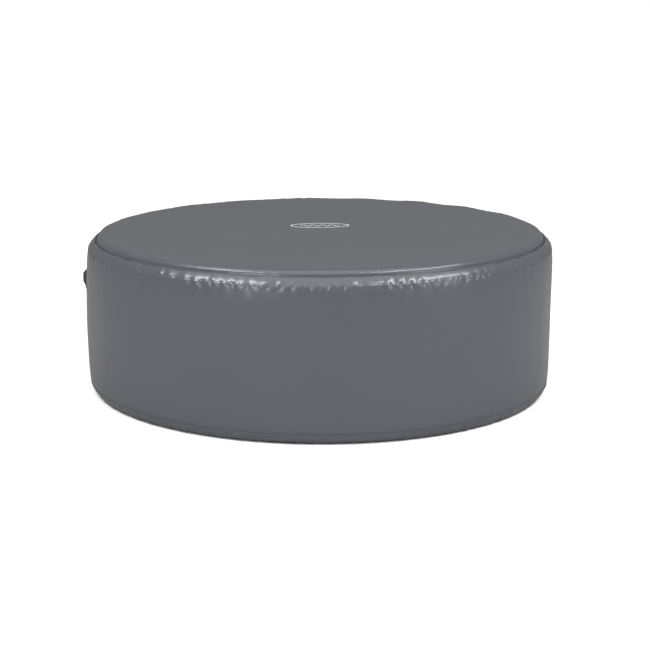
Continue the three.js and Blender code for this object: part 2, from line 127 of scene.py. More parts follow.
def grid_faces(rows, columns, wrap_columns=False, wrap_rows=False):
    faces = []
    for i in range(rows if wrap_rows else rows - 1):
        for j in range(columns if wrap_columns else columns - 1):
            a, b = i * columns + j, i * columns + (j + 1) % columns
            c, d = ((i + 1) % rows) * columns + (j + 1) % columns, ((i + 1) % rows) * columns + j
            faces.append((a, b, c, d))
    return faces


def apply_modifiers(piece):
    deps = bpy.context.evaluated_depsgraph_get()
    mesh = bpy.data.meshes.new_from_object(piece.evaluated_get(deps))
    piece.modifiers.clear()
    piece.data = mesh
    return piece


def thicken(piece, thickness):
    """Give a sheet its thickness, inwards from its face."""
    solid = piece.modifiers.new("thickness", "SOLIDIFY")
    solid.thickness = thickness
    solid.offset = -1
    apply_modifiers(piece)
    piece.data.shade_smooth()
    piece.data.set_sharp_from_angle(angle=math.radians(50))
    return piece


def spun(name, profile, sides=96, axis="Z", at=(0, 0, 0), sharp=40):
    """Turn a closed profile of (radius, height) about an axis; the profile may touch the axis."""
    verts = []
    angles = [TAU * j / sides for j in range(sides)]
    for radius, height in profile:
        for angle in angles:
            x, y = radius * math.cos(angle), radius * math.sin(angle)
            point = (x, y, height) if axis == "Z" else (x, height, y)
            verts.append([point[k] + at[k] for k in range(3)])
    faces = grid_faces(len(profile), sides, wrap_columns=True, wrap_rows=True)
    return face_outwards(make_object(name, verts, faces, sharp), sharp)


def rounded(points, radius, steps=3):
    """Round each corner of a closed outline of (a, b) points."""
    result = []
    count = len(points)
    for i, point in enumerate(points):
        here = np.array(point, float)
        before = np.array(points[i - 1], float) - here
        after = np.array(points[(i + 1) % count], float) - here
        reach = min(radius, np.linalg.norm(before) * 0.45, np.linalg.norm(after) * 0.45)
        if reach < 1e-5 or here[0] < 1e-6:
            result.append(tuple(here))
            continue
        start = here + before / np.linalg.norm(before) * reach
        end = here + after / np.linalg.norm(after) * reach
        for k in range(steps + 1):
            t = k / steps
            result.append(tuple((1 - t) ** 2 * start + 2 * t * (1 - t) * here + t * t * end))
    return result


def softened(points, rounds=2):
    """Chaikin's corner cutting on an open path, keeping its ends."""
    path = np.array(points, float)
    for _ in range(rounds):
        quarter = path[:-1] * 0.75 + path[1:] * 0.25
        three = path[:-1] * 0.25 + path[1:] * 0.75
        middle = np.empty((2 * len(quarter), 2))
        middle[0::2], middle[1::2] = quarter, three
        path = np.vstack([path[:1], middle, path[-1:]])
    return path


def evenly(path, spacing):
    """Resample a path at about even steps; spacing may be a function of the height."""
    steps = np.linalg.norm(np.diff(path, axis=0), axis=1)
    along = np.concatenate([[0], np.cumsum(steps)])
    places = [0.0]
    while places[-1] < along[-1]:
        height = np.interp(places[-1], along, path[:, 1])
        places.append(places[-1] + spacing(height))
    places = np.array(places) * along[-1] / places[-1]
    return np.stack([np.interp(places, along, path[:, k]) for k in range(2)], 1)


def ripple(angle, low, high, waves, seed):
    """A random wave round the tub with between low and high crests; its size is about 1."""
    random = np.random.default_rng(seed)
    total = np.zeros_like(angle)
    for count in random.integers(low, high, waves):
        total += np.cos(count * angle + random.uniform(0, TAU))
    return total / math.sqrt(waves / 2)


def headings(path):
    """Unit direction of an open path at each of its points."""
    along = np.gradient(path, axis=0)
    return along / np.linalg.norm(along, axis=1)[:, None]


def round_angles(columns):
    return np.arange(columns) / columns * TAU


def bell(value, middle, width):
    return np.exp(-(((value - middle) / width) ** 2))


def put(piece, body, slot, material, *nodes):
    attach(piece, body)
    if nodes:
        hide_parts(*nodes)
    piece.data.materials.clear()
    piece.data.materials.append(material)
    return piece


# ---- materials ----

class Shader:
    """A Principled material with short ways to add nodes."""

    def __init__(self, name, roughness=0.5, **sockets):
        self.material = bpy.data.materials.new(name)
        self.material.use_nodes = True
        self.tree = self.material.node_tree
        self.surface = self.tree.nodes["Principled BSDF"]
        self.surface.inputs["Roughness"].default_value = roughness
        for socket, value in sockets.items():
            self.surface.inputs[socket.replace("_", " ")].default_value = value
        self.place = self.tree.nodes.new("ShaderNodeTexCoord").outputs["Object"]

    def node(self, kind, **values):
        made = self.tree.nodes.new(kind)
        for key, value in values.items():
            if hasattr(made, key):
                setattr(made, key, value)
            else:
                made.inputs[key.replace("_", " ")].default_value = value
        return made

    def link(self, output, target):
        self.tree.links.new(output, target)

    def noise(self, scale, detail):
        made = self.node("ShaderNodeTexNoise", Scale=scale, Detail=detail)
        self.link(self.place, made.inputs["Vector"])
        return made.outputs["Fac"]

    def cells(self, scale, feature="DISTANCE_TO_EDGE"):
        made = self.node("ShaderNodeTexVoronoi", feature=feature, Scale=scale)
        self.link(self.place, made.inputs["Vector"])
        return made.outputs["Distance"]

    def weave(self, scale):
        made = self.node("ShaderNodeTexWave", bands_direction="DIAGONAL", Scale=scale, Distortion=0.6)
        self.link(self.place, made.inputs["Vector"])
        return made.outputs["Fac"]

    def spread(self, factor, low, high):
        """Map a 0 to 1 factor onto low to high."""
        made = self.node("ShaderNodeMapRange")
        made.inputs["From Min"].default_value = 0.1
        made.inputs["From Max"].default_value = 0.9
        made.inputs["To Min"].default_value = low
        made.inputs["To Max"].default_value = high
        self.link(factor, made.inputs["Value"])
        return made.outputs["Result"]

    def colours(self, factor, dark, light):
        ramp = self.node("ShaderNodeValToRGB")
        ramp.color_ramp.elements[0].position = 0.15
        ramp.color_ramp.elements[1].position = 0.85
        ramp.color_ramp.elements[0].color = (*dark, 1)
        ramp.color_ramp.elements[1].color = (*light, 1)
        self.link(factor, ramp.inputs["Fac"])
        return ramp.outputs["Color"]

    def paint(self, colour):
        self.link(colour, self.surface.inputs["Base Color"])

    def roughen(self, factor, low, high):
        self.link(self.spread(factor, low, high), self.surface.inputs["Roughness"])

    def bump(self, height, strength, distance):
        made = self.node("ShaderNodeBump", Strength=strength, Distance=distance)
        self.link(height, made.inputs["Height"])
        if self.surface.inputs["Normal"].is_linked:
            self.link(self.surface.inputs["Normal"].links[0].from_socket, made.inputs["Normal"])
        self.link(made.outputs["Normal"], self.surface.inputs["Normal"])


def shade(colour, factor):
    return tuple(min(1.0, channel * factor) for channel in colour)


def vinyl(name, colour, roughness=0.5, grain=420.0, grain_depth=0.0006, variation=0.05, **sockets):
    """Soft coated sheet: a fine pebbled grain, faint cloudy tone and slightly uneven gloss."""
    made = Shader(name, roughness, **sockets)
    made.paint(made.colours(made.noise(2.2, 5), shade(colour, 1 - variation), shade(colour, 1 + variation)))
    made.roughen(made.noise(5, 2), roughness - 0.02, roughness + 0.02)
    made.bump(made.noise(11, 2), 0.12, 0.0012)
    made.bump(made.cells(grain), 0.25, grain_depth)
    return made.material


def plastic(name, colour, roughness=0.45, texture=1500.0):
    """Moulded plastic with a fine spark-eroded texture, a faint random tone and slightly uneven gloss."""
    made = Shader(name, roughness)
    made.paint(made.colours(made.noise(30, 4), shade(colour, 0.92), shade(colour, 1.10)))
    made.roughen(made.noise(60, 5), roughness - 0.08, roughness + 0.08)
    made.bump(made.noise(texture, 2), 0.15, 0.0003)
    return made.material


def rubber(name, colour, roughness=0.6):
    made = Shader(name, roughness)
    made.paint(made.colours(made.noise(18, 5), shade(colour, 0.85), shade(colour, 1.25)))
    made.roughen(made.noise(40, 5), roughness - 0.1, roughness + 0.1)
    made.bump(made.cells(700.0), 0.3, 0.0003)
    return made.material


def webbing(name, colour):
    """Woven strap: diagonal ribs and loose fibres."""
    made = Shader(name, 0.8, Sheen_Weight=0.3)
    made.paint(made.colours(made.noise(160, 4), shade(colour, 0.7), shade(colour, 1.4)))
    made.bump(made.weave(330.0), 0.6, 0.0006)
    made.bump(made.noise(900, 3), 0.3, 0.0003)
    return made.material


def foam(name, colour):
    """Closed-cell foam with an embossed waffle."""
    made = Shader(name, 0.85)
    made.paint(made.colours(made.noise(6, 4), shade(colour, 0.9), shade(colour, 1.1)))
    made.bump(made.cells(60.0, "F1"), 0.5, 0.0015)
    made.bump(made.noise(500, 4), 0.4, 0.0006)
    return made.material


COVER_GREY = (0.0600, 0.0614, 0.0702)
COVER_VINYL = vinyl("cover_vinyl", COVER_GREY, 0.26, variation=0.03, Specular_IOR_Level=0.42)
COVER_TRIM = vinyl("cover_trim", shade(COVER_GREY, 0.82), 0.52, variation=0.06)
LID_VINYL = vinyl("lid_vinyl", (0.42, 0.45, 0.48), 0.42, 260.0)
TUB_OUTER = vinyl("tub_outer_vinyl", (0.075, 0.080, 0.092), 0.42, 300.0)
TUB_INNER = vinyl("tub_inner_vinyl", (0.50, 0.54, 0.57), 0.36, 240.0)
TUB_WEB = vinyl("web_vinyl", (0.62, 0.63, 0.64), 0.5, 260.0)
MAT_FOAM = foam("mat_foam", (0.045, 0.050, 0.058))
BLACK_PLASTIC = plastic("black_plastic", (0.022, 0.023, 0.025))
PALE_PLASTIC = plastic("pale_plastic", (0.66, 0.67, 0.68), 0.38)
GASKET = rubber("gasket_rubber", (0.014, 0.014, 0.015), 0.7)
HANDLE_RUBBER = rubber("handle_rubber", (0.010, 0.010, 0.011), 0.55)
STRAP = webbing("strap_webbing", (0.03, 0.03, 0.033))
THREAD = webbing("stitch_thread", (0.06, 0.06, 0.065))
INK = plastic("badge_ink", (0.52, 0.52, 0.53), 0.6)


# ---- the cover's surfaces, as formulas of the angle round the tub ----

def skirt_profile():
    """(radius, height) from the hem's tip, round the tucked edge, up the wall to the seam."""
    hem = [(HEM_TIP + (0.981 - HEM_TIP) * math.sin(t), HEM_TURN - (HEM_TURN - SKIRT_LOW) * math.cos(t))
           for t in np.linspace(0, math.pi / 2, 8)]
    wall = []
    for s in np.linspace(0.04, 0.90, 12):
        radius = 0.982 + 0.004 * math.sin(math.pi * s) - 0.0015 * s
        wall.append((radius, HEM_TURN + s * (CREST_HEIGHT - HEM_TURN)))
    shoulder = [
        (0.9795, CREST_HEIGHT - 0.030),
        (0.9780, CREST_HEIGHT - 0.014),
        (CREST_RADIUS, CREST_HEIGHT),
        (0.9705, 0.617),
        (0.9635, 0.6268),
        (0.9550, 0.6355),
        (0.9482, 0.6410),
        (0.9462, SEAM_HEIGHT - 0.006),
    ]
    return softened(hem + wall + shoulder)


def pucker(angle, height):
    """How far the skirt stands off its smooth profile, in metres."""
    gather = 0.55 + 0.45 * (0.5 + 0.5 * np.tanh(1.4 * ripple(angle, 5, 26, 8, 3)))
    crest = np.tanh(1.1 * ripple(angle, 130, 230, 16, 5)) * gather
    broad = np.tanh(ripple(angle, 60, 110, 12, 7))
    shoulder_folds = ripple(angle, 90, 170, 14, 11) * gather
    hem_gather = 0.3 + 0.7 * (0.5 + 0.5 * np.tanh(1.3 * ripple(angle, 6, 30, 8, 13)))
    hem_folds = np.tanh(1.2 * ripple(angle, 60, 130, 14, 17)) * hem_gather
    slack = ripple(angle, 4, 13, 6, 19)
    drift = ripple(angle, 9, 30, 6, 23)
    rise = np.clip((height - HEM_TURN) / (CREST_HEIGHT - HEM_TURN), 0, 1)
    offset = 0.0019 * crest * bell(height, CREST_HEIGHT - 0.002, 0.0085)
    offset += 0.0012 * broad * bell(height, CREST_HEIGHT - 0.010, 0.028)
    crease = 0.40 + 0.60 * np.tanh(1.4 * ripple(angle, 170, 330, 16, 61))
    offset += 0.0015 * crease * bell(height, CREST_HEIGHT + 0.004, 0.0030)
    offset += 0.0008 * shoulder_folds * bell(height, CREST_HEIGHT + 0.018, 0.013)
    offset += 0.0024 * hem_folds * bell(height, 0.030, 0.017)
    offset += 0.0008 * hem_folds * bell(height, 0.062, 0.024)
    offset += 0.0013 * slack * np.sin(math.pi * rise) + 0.0006 * drift * np.sin(math.pi * rise) ** 0.5
    return offset


def settle(points):
    """The cover sits a little lopsided on the tub: high at its right, and slack at its left."""
    x, y, z = points[..., 0], points[..., 1], points[..., 2]
    raised = np.clip((z - 0.30) / 0.30, 0, 1)
    raised = raised * raised * (3 - 2 * raised)
    side = x / WALL_RADIUS
    sag = np.clip(z / COVER_TOP, 0, 1)
    belly = np.sin(math.pi * sag) * np.where(side < 0, 0.0055, -0.0020) * np.abs(side) ** 3
    scale = 1 + belly + 0.0035 * raised * np.where(side > 0, side, 0.0) ** 2
    lifted = z + 0.0055 * side * raised
    return np.stack([x * scale, y * scale, lifted], -1)


def skirt_points(path, angles, lift=0.0):
    """Points of the skirt, or of a layer lying on it, as rows up the profile."""
    along = headings(path)
    height = path[:, 1][:, None]
    wave = 0.0016 * ripple(angles, 20, 60, 8, 29)[None, :] * bell(height, CREST_HEIGHT, 0.03)
    off = pucker(angles[None, :], height + wave) + lift
    radius = path[:, 0][:, None] + along[:, 1][:, None] * off
    z = height - along[:, 0][:, None] * off + wave
    return settle(np.stack([radius * np.cos(angles), radius * np.sin(angles), z], -1))


def cutout_distance(x, z, grow=0.0):
    """Signed distance to the arch-shaped cut-out: negative inside it."""
    half, top, corner = CUTOUT_HALF + grow, CUTOUT_TOP + grow, CUTOUT_CORNER + grow
    qx, qz = np.abs(x) - (half - corner), z - (top - corner)
    return np.hypot(np.maximum(qx, 0), np.maximum(qz, 0)) + np.minimum(np.maximum(qx, qz), 0) - corner


def without_cutout(points, faces, keep_within=None):
    """Drop the faces in the cut-out and draw the cut edge onto its outline."""
    flat = points.reshape(-1, 3).copy()
    at_back = flat[:, 1] > 0
    distance = np.where(at_back, cutout_distance(flat[:, 0], flat[:, 2]), 1.0)
    faces = np.array(faces)
    centre = distance[faces].mean(1)
    keep = centre > 0
    if keep_within is not None:
        keep &= centre < keep_within
    kept = faces[keep]
    used = np.zeros(len(flat), int)
    np.add.at(used, kept.ravel(), 1)
    full = np.zeros(len(flat), int)
    np.add.at(full, faces.ravel(), 1)
    edge = (used > 0) & (used < full)
    step = 1e-4
    for target in (0.0, keep_within):
        if target is None:
            continue
        for _ in range(3):
            d = cutout_distance(flat[:, 0], flat[:, 2])
            gx = (cutout_distance(flat[:, 0] + step, flat[:, 2]) - d) / step
            gz = (cutout_distance(flat[:, 0], flat[:, 2] + step) - d) / step
            move = edge & at_back & (np.abs(d - target) < 0.012)
            radius = np.hypot(flat[:, 0], flat[:, 1])
            flat[move, 0] -= ((d - target) * gx)[move]
            flat[move, 2] -= ((d - target) * gz)[move]
            flat[move, 1] = np.sqrt(np.maximum(radius**2 - flat[:, 0] ** 2, 0))[move]
    order = np.full(len(flat), -1)
    order[used > 0] = np.arange((used > 0).sum())
    return flat[used > 0], order[kept]


SKIRT_COLUMNS = 1200
ANGLES = np.arange(SKIRT_COLUMNS) / SKIRT_COLUMNS * TAU + math.pi / 2


def skirt_spacing(height):
    if height > CREST_HEIGHT - 0.012:
        return 0.0020
    if height > CREST_HEIGHT - 0.040 or height < 0.07:
        return 0.0042
    return 0.0125


def add_skirt():
    path = evenly(skirt_profile(), skirt_spacing)
    points = skirt_points(path, ANGLES)
    verts, faces = without_cutout(points, grid_faces(len(path), SKIRT_COLUMNS, wrap_columns=True))
    skirt = thicken(make_object("skirt", verts, faces), 0.0025)
    put(skirt, "cover", "cover_vinyl", COVER_VINYL, "cover_skirt")


def add_hem_band():
    path = evenly(skirt_profile(), lambda height: 0.0045)
    path = path[(path[:, 1] < HEM_BAND_TOP) & (path[:, 0] > HEM_TIP + 0.004)]
    points = skirt_points(path, ANGLES, 0.0016)
    verts, faces = without_cutout(points, grid_faces(len(path), SKIRT_COLUMNS, wrap_columns=True))
    band = thicken(make_object("hem_tape", verts, faces), 0.0014)
    put(band, "cover", "cover_trim", COVER_VINYL, "hem_band")


def add_cutout_binding():
    path = evenly(skirt_profile(), lambda height: 0.006)
    path = path[(path[:, 1] > HEM_BAND_TOP + 0.006) & (path[:, 1] < CUTOUT_TOP + 0.05)]
    columns = np.linspace(math.radians(67), math.radians(113), 260)
    points = skirt_points(path, columns, 0.0018)
    verts, faces = without_cutout(points, grid_faces(len(path), len(columns)), 0.020)
    # the columns run anticlockwise and the rows go up, so the faces look outwards
    binding = thicken(make_object("arch_binding", verts, faces), 0.0016)
    put(binding, "cover", "cover_trim", COVER_TRIM, "cutout_binding")


def panel_profile():
    """(radius, height) of the top panel, from its middle out and over its padded edge."""
    flat = [(radius, COVER_TOP + 0.003 * math.cos(math.pi / 2 * (radius / PANEL_RADIUS) ** 1.5))
            for radius in np.linspace(0, 0.905, 12)]
    edge = [(0.921, COVER_TOP - 0.0005), (0.9325, COVER_TOP - 0.006), (0.9385, COVER_TOP - 0.016),
            (0.9395, SEAM_HEIGHT - 0.004)]
    return softened(flat + edge)


def panel_heave(angle, radius, x, y):
    """The soft unevenness of the padded top and the fine gathers along its edge."""
    rim = bell(radius, 0.928, 0.016)
    gather = 0.3 + 0.7 * (0.5 + 0.5 * np.tanh(1.5 * ripple(angle, 4, 20, 8, 31)))
    heave = 0.0005 * ripple(angle, 60, 150, 14, 37) * gather * rim
    heave += 0.0010 * ripple(angle, 8, 26, 6, 41) * bell(radius, 0.90, 0.05)
    swell = np.sin(5.1 * x + 1.3) * np.cos(4.3 * y - 0.4) + 0.6 * np.sin(9.2 * x - 7.7 * y)
    return heave + 0.0009 * swell * (1 - rim)


def add_top_panel():
    columns = 720
    path = evenly(panel_profile(), lambda height: 0.0045 if height < COVER_TOP - 0.0012 else 0.022)
    angles = round_angles(columns)
    along = headings(path)
    radius = np.maximum(path[:, 0], 1e-3)[:, None]
    x, y = radius * np.cos(angles), radius * np.sin(angles)
    off = panel_heave(angles[None, :], radius, x, y)
    out = radius - along[:, 1][:, None] * off
    z = path[:, 1][:, None] + along[:, 0][:, None] * off
    points = settle(np.stack([out * np.cos(angles), out * np.sin(angles), z], -1))
    faces = grid_faces(len(path), columns, wrap_columns=True)
    # rows run outwards, so each face is turned over to look up
    faces = [face[::-1] for face in faces] + [tuple(range(columns))]
    panel = thicken(make_object("top_panel", points.reshape(-1, 3), faces), 0.0030)
    put(panel, "cover", "cover_vinyl", COVER_VINYL, "cover_top_panel")


def add_seam_piping():
    """A bead sunk in the groove between the top panel and the skirt."""
    columns, section = 720, 10
    angles = round_angles(columns)
    radius = 0.0028 + 0.0003 * ripple(angles, 100, 200, 8, 43)
    turns = np.arange(section) / section * TAU
    out = 0.9429 + radius[None, :] * np.cos(turns)[:, None]
    z = SEAM_HEIGHT - 0.0035 + radius[None, :] * np.sin(turns)[:, None]
    points = settle(np.stack([out * np.cos(angles), out * np.sin(angles), z], -1)).reshape(-1, 3)
    faces = grid_faces(section, columns, wrap_columns=True, wrap_rows=True)
    bead = face_outwards(make_object("piping_bead", points, faces))
    put(bead, "cover", "cover_trim", COVER_TRIM, "seam_piping")


def flat_ribbon(name, centre_line, width, height, z_of, closed=True):
    """A thin raised ribbon on the top panel, along a line of (x, y) points."""
    line = np.array(centre_line)
    if closed:
        along = np.roll(line, -1, 0) - np.roll(line, 1, 0)
    else:
        along = np.gradient(line, axis=0)
    along /= np.linalg.norm(along, axis=1)[:, None]
    side = np.stack([-along[:, 1], along[:, 0]], 1) * width / 2
    rows = []
    for sideways, up in ((-1, 0), (-1, 1), (1, 1), (1, 0)):
        xy = line + sideways * side
        rows.append(np.column_stack([xy, z_of(xy) + up * height]))
    count = len(line)
    faces = grid_faces(4, count, wrap_columns=closed, wrap_rows=True)
    if not closed:
        faces += [tuple(k * count for k in range(4)), tuple(k * count + count - 1 for k in range(3, -1, -1))]
    return face_outwards(make_object(name, settle(np.concatenate(rows)), faces), 30)


def add_badge():
    """A plain oval outline round one wavy line, printed in pale ink on the top panel."""
    low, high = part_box("badge_outline")
    middle = [(low[k] + high[k]) / 2 for k in range(2)]
    half = [(high[k] - low[k]) / 2 for k in range(2)]
    turns = np.linspace(0, TAU, 97)[:-1]
    oval = np.column_stack([middle[0] + half[0] * np.cos(turns), middle[1] + half[1] * np.sin(turns)])

    def on_panel(xy):
        radius = np.hypot(xy[:, 0], xy[:, 1])
        angle = np.arctan2(xy[:, 1], xy[:, 0])
        path = panel_profile()
        rest = np.interp(radius, path[:, 0], path[:, 1])
        return rest + panel_heave(angle, radius, xy[:, 0], xy[:, 1]) + 0.0002

    outline = flat_ribbon("badge", oval, 0.005, 0.0006, on_panel)
    put(outline, "cover", "badge_ink", INK, "badge_outline")
    reach = np.linspace(-0.082, 0.082, 90)
    wave = np.column_stack([middle[0] + reach, middle[1] + 0.016 * np.sin(reach * TAU / 0.041)])
    line = flat_ribbon("badge_wave", wave, 0.004, 0.0006, on_panel, closed=False)
    put(line, "cover", "badge_ink", INK)


def add_stitches(name, places, length, thickness, body, slot):
    """Short stitches: each place is a middle, a direction along the seam and an outward normal."""
    verts, faces = [], []
    sides, stations = 5, (-1, -0.6, 0.6, 1)
    for middle, along, normal in places:
        across = np.cross(along, normal)
        base = len(verts)
        for station in stations:
            sink = -thickness * 0.9 if abs(station) == 1 else 0
            for k in range(sides):
                turn = TAU * k / sides
                ring_offset = thickness * (math.cos(turn) * across + math.sin(turn) * normal)
                verts.append(middle + along * station * length / 2 + ring_offset + normal * sink)
        for i in range(len(stations) - 1):
            for k in range(sides):
                a, b = base + i * sides + k, base + i * sides + (k + 1) % sides
                faces.append((a, b, b + sides, a + sides))
        faces.append(tuple(base + k for k in range(sides)))
        faces.append(tuple(base + (len(stations) - 1) * sides + k for k in range(sides)))
    put(face_outwards(make_object(name, verts, faces)), body, slot, THREAD)


def add_hem_stitches():
    places = []
    path = evenly(skirt_profile(), lambda height: 0.003)
    level = path[np.abs(path[:, 1] - (HEM_BAND_TOP - 0.006)).argmin(), 1]
    row = path[(path[:, 1] > level - 0.007) & (path[:, 1] < level + 0.007)]
    for k in range(STITCH_COUNT):
        angle = TAU * (k + 0.5) / STITCH_COUNT
        spot = skirt_points(row, np.array([angle]), 0.0020)[:, 0]
        middle = spot[len(spot) // 2]
        if middle[1] > 0 and abs(middle[0]) < CUTOUT_HALF + 0.006:
            continue
        normal = np.array([math.cos(angle), math.sin(angle), -0.25])
        normal /= np.linalg.norm(normal)
        places.append((middle, np.array([-math.sin(angle), math.cos(angle), 0.0]), normal))
    add_stitches("hem_stitches", places, 0.0075, 0.0006, "cover", "cover_trim")


# ---- the lift handles ----

def swept_pad(name, azimuth, spans, sides=28):
    """A curved pad on the skirt: each span is (degrees, inner radius, outer radius, low, high)."""
    spans = np.array(spans)
    degrees = np.linspace(spans[0, 0], spans[-1, 0], 90)
    measure = [np.interp(degrees, spans[:, 0], spans[:, k]) for k in range(1, 5)]
    kernel = np.array([1, 2, 3, 2, 1]) / 9
    measure = [np.convolve(np.pad(values, 2, mode="edge"), kernel, "valid") for values in measure]
    verts = []
    for i, degree in enumerate(degrees):
        inner, outer, low, high = (values[i] for values in measure)
        angle = math.radians(azimuth + degree)
        for k in range(sides):
            turn = TAU * k / sides
            across = np.sign(math.cos(turn)) * abs(math.cos(turn)) ** 0.45
            up = np.sign(math.sin(turn)) * abs(math.sin(turn)) ** 0.45
            radius = (inner + outer) / 2 + (outer - inner) / 2 * across
            z = (low + high) / 2 + (high - low) / 2 * up
            verts.append((radius * math.cos(angle), radius * math.sin(angle), z))
    faces = grid_faces(len(degrees), sides, wrap_columns=True)
    faces += [tuple(range(sides)), tuple(range((len(degrees) - 1) * sides, len(degrees) * sides))]
    return face_outwards(make_object(name, verts, faces), 35)


def mirrored(spans):
    """Repeat the spans of a pad's first half on its other half, about 0 degrees."""
    return spans + [(-span[0], *span[1:]) for span in reversed(spans) if span[0] < 0]


def add_handle(side, azimuth):
    low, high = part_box(f"handle_base_{side}")[0][2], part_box(f"handle_base_{side}")[1][2]
    seat = HANDLE_SEAT
    plate = swept_pad(f"handle_plate_{side}", azimuth, mirrored([
        (-7.5, seat - 0.003, seat, low + 0.030, high - 0.030),
        (-7.1, seat - 0.003, seat + 0.003, low + 0.004, high - 0.004),
        (-6.7, seat - 0.003, seat + 0.003, low, high),
    ]))
    put(plate, "cover", "handle_rubber", HANDLE_RUBBER, f"handle_base_{side}")
    grip = swept_pad(f"handle_grip_{side}", azimuth, mirrored([
        (-7.2, seat, seat + 0.006, low + 0.012, high - 0.008),
        (-6.9, seat, seat + 0.013, low + 0.008, high - 0.004),
        (-5.6, seat, seat + 0.015, low + 0.010, high - 0.004),
        (-4.9, seat + 0.004, seat + 0.020, low + 0.022, high - 0.014),
        (-3.9, seat + 0.017, seat + 0.028, low + 0.027, high - 0.020),
        (0.0, seat + 0.020, seat + 0.031, low + 0.028, high - 0.021),
    ]))
    put(grip, "cover", "handle_rubber", HANDLE_RUBBER, f"handle_grip_{side}")


# ---- the inflatable lid inside the cover ----

def add_lid():
    """A pillowed disc with parallel welded channels, inflated between its two skins."""
    rings, columns = 44, 180
    middle, half = (LID_LOW + LID_HIGH) / 2, (LID_HIGH - LID_LOW) / 2
    turns = np.linspace(0, math.pi, 2 * rings + 1)
    angles = round_angles(columns)
    reach = np.sin(turns) ** 0.55 * LID_RADIUS
    x = reach[:, None] * np.cos(angles)
    y = reach[:, None] * np.sin(angles)
    edge = np.clip(1 - (reach / LID_RADIUS) ** 9, 0, 1) ** 0.5
    channel = 1 - 0.34 * np.exp(-((np.mod(x + 0.075, 0.15) - 0.075) / 0.012) ** 2) * (reach[:, None] < 0.66)
    sign = np.where(turns < math.pi / 2, 1, -1)
    z = middle + sign[:, None] * half * np.maximum(edge[:, None], 0.0) * channel
    points = settle(np.stack([x, y, z], -1)).reshape(-1, 3)
    faces = grid_faces(len(turns), columns, wrap_columns=True)
    lid = face_outwards(make_object("lid_pillow", points, faces), 60)
    put(lid, "cover", "lid_vinyl", LID_VINYL, "lid_bladder")


def add_lid_straps():
    for k in range(4):
        angle = math.radians(45 + 90 * k)
        low = LID_LOW - 0.0004
        section = [(0.640, low - 0.003), (LID_RADIUS + 0.006, low - 0.003), (LID_RADIUS + 0.006, LID_HIGH),
                   (LID_RADIUS + 0.003, LID_HIGH), (LID_RADIUS + 0.003, low), (0.640, low)]
        section = rounded(section, 0.006)
        verts = []
        for across in (-STRAP_HALF, -0.029, 0.029, STRAP_HALF):
            inset = 0.0004 if abs(across) > 0.0295 else 0
            for radius, z in section:
                verts.append((
                    radius * math.cos(angle) - across * math.sin(angle),
                    radius * math.sin(angle) + across * math.cos(angle), z - inset))
        count = len(section)
        faces = grid_faces(4, count, wrap_columns=True)
        faces += [tuple(range(count)), tuple(range(3 * count, 4 * count))]
        strap = face_outwards(make_object(f"lid_strap_{k + 1}_webbing", verts, faces))
        put(strap, "cover", "webbing", STRAP, f"lid_strap_{k + 1}")


# ---- the tub ----

PINCHES = 24


def pinch(angle):
    """1 on the lines where the chamber's webs hold a wall in, 0 between them."""
    return np.abs(np.cos(PINCHES / 2 * angle)) ** 14


def padded_wall(name, path, depth, columns=720):
    """A wall bulging between its webs; the path goes round with the wall's face on its right."""
    along = headings(path)
    angles = round_angles(columns)
    span = np.linspace(0, 1, len(path))[:, None]
    off = -depth * pinch(angles)[None, :] * np.sin(math.pi * span) ** 0.5
    off = off + 0.0006 * ripple(angles, 30, 90, 10, 53)[None, :] * np.sin(math.pi * span)
    radius = path[:, 0][:, None] + along[:, 1][:, None] * off
    z = path[:, 1][:, None] - along[:, 0][:, None] * off
    points = np.stack([radius * np.cos(angles), radius * np.sin(angles), z], -1).reshape(-1, 3)
    piece = make_object(name, points, grid_faces(len(path), columns, wrap_columns=True))
    return thicken(piece, 0.003)


def arc(centre, radial, vertical, start, end, steps):
    return [(centre[0] + radial * math.cos(math.radians(t)), centre[1] + vertical * math.sin(math.radians(t)))
            for t in np.linspace(start, end, steps)]


def add_weld_seam(name, radius, height):
    """The narrow raised weld where two panels meet."""
    profile = [(radius - 0.006, height - 0.001), (radius + 0.006, height - 0.001),
               (radius + 0.005, height + 0.0012), (radius - 0.005, height + 0.0012)]
    put(spun(name, profile, 240), "tub", "tub_inner_vinyl", TUB_INNER)


def add_tub():
    foot = (TUB_RADIUS - 0.042, 0.070)
    head = (TUB_RADIUS - 0.055, 0.560)
    wall = arc(foot, 0.042, 0.0616, -90, 0, 10) + arc(head, 0.055, 0.081, 0, 84, 10)
    outer = padded_wall("outer_wall", evenly(np.array(wall), lambda h: 0.014), 0.006)
    put(outer, "tub", "tub_outer_vinyl", TUB_OUTER, "outer_wall_panel")
    rim = arc((POOL_RADIUS + 0.078, 0.592), TUB_RADIUS - 0.055 - POOL_RADIUS - 0.078, 0.053, 73, 90, 4)
    rim += arc((POOL_RADIUS + 0.070, 0.592), 0.070, 0.0525, 92, 178, 12)
    deck = padded_wall("top_deck", evenly(np.array(rim), lambda h: 0.010), 0.004)
    put(deck, "tub", "tub_inner_vinyl", TUB_INNER, "top_deck_panel")
    side = np.array([(POOL_RADIUS, 0.591), (POOL_RADIUS, FLOOR_TOP)])
    inner = padded_wall("inner_wall", evenly(side, lambda h: 0.014), 0.007)
    put(inner, "tub", "tub_inner_vinyl", TUB_INNER, "inner_wall_panel")
    add_weld_seam("deck_weld", TUB_RADIUS - 0.057, 0.6405)
    add_floor()
    mat_radius, mat_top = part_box("ground_mat")[1][0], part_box("ground_mat")[1][2]
    profile = rounded([(0, 0), (mat_radius, 0), (mat_radius, mat_top), (0, mat_top)], 0.003)
    mat = put(spun("ground_mat_foam", profile, 240), "tub", "mat_foam", MAT_FOAM, "ground_mat")


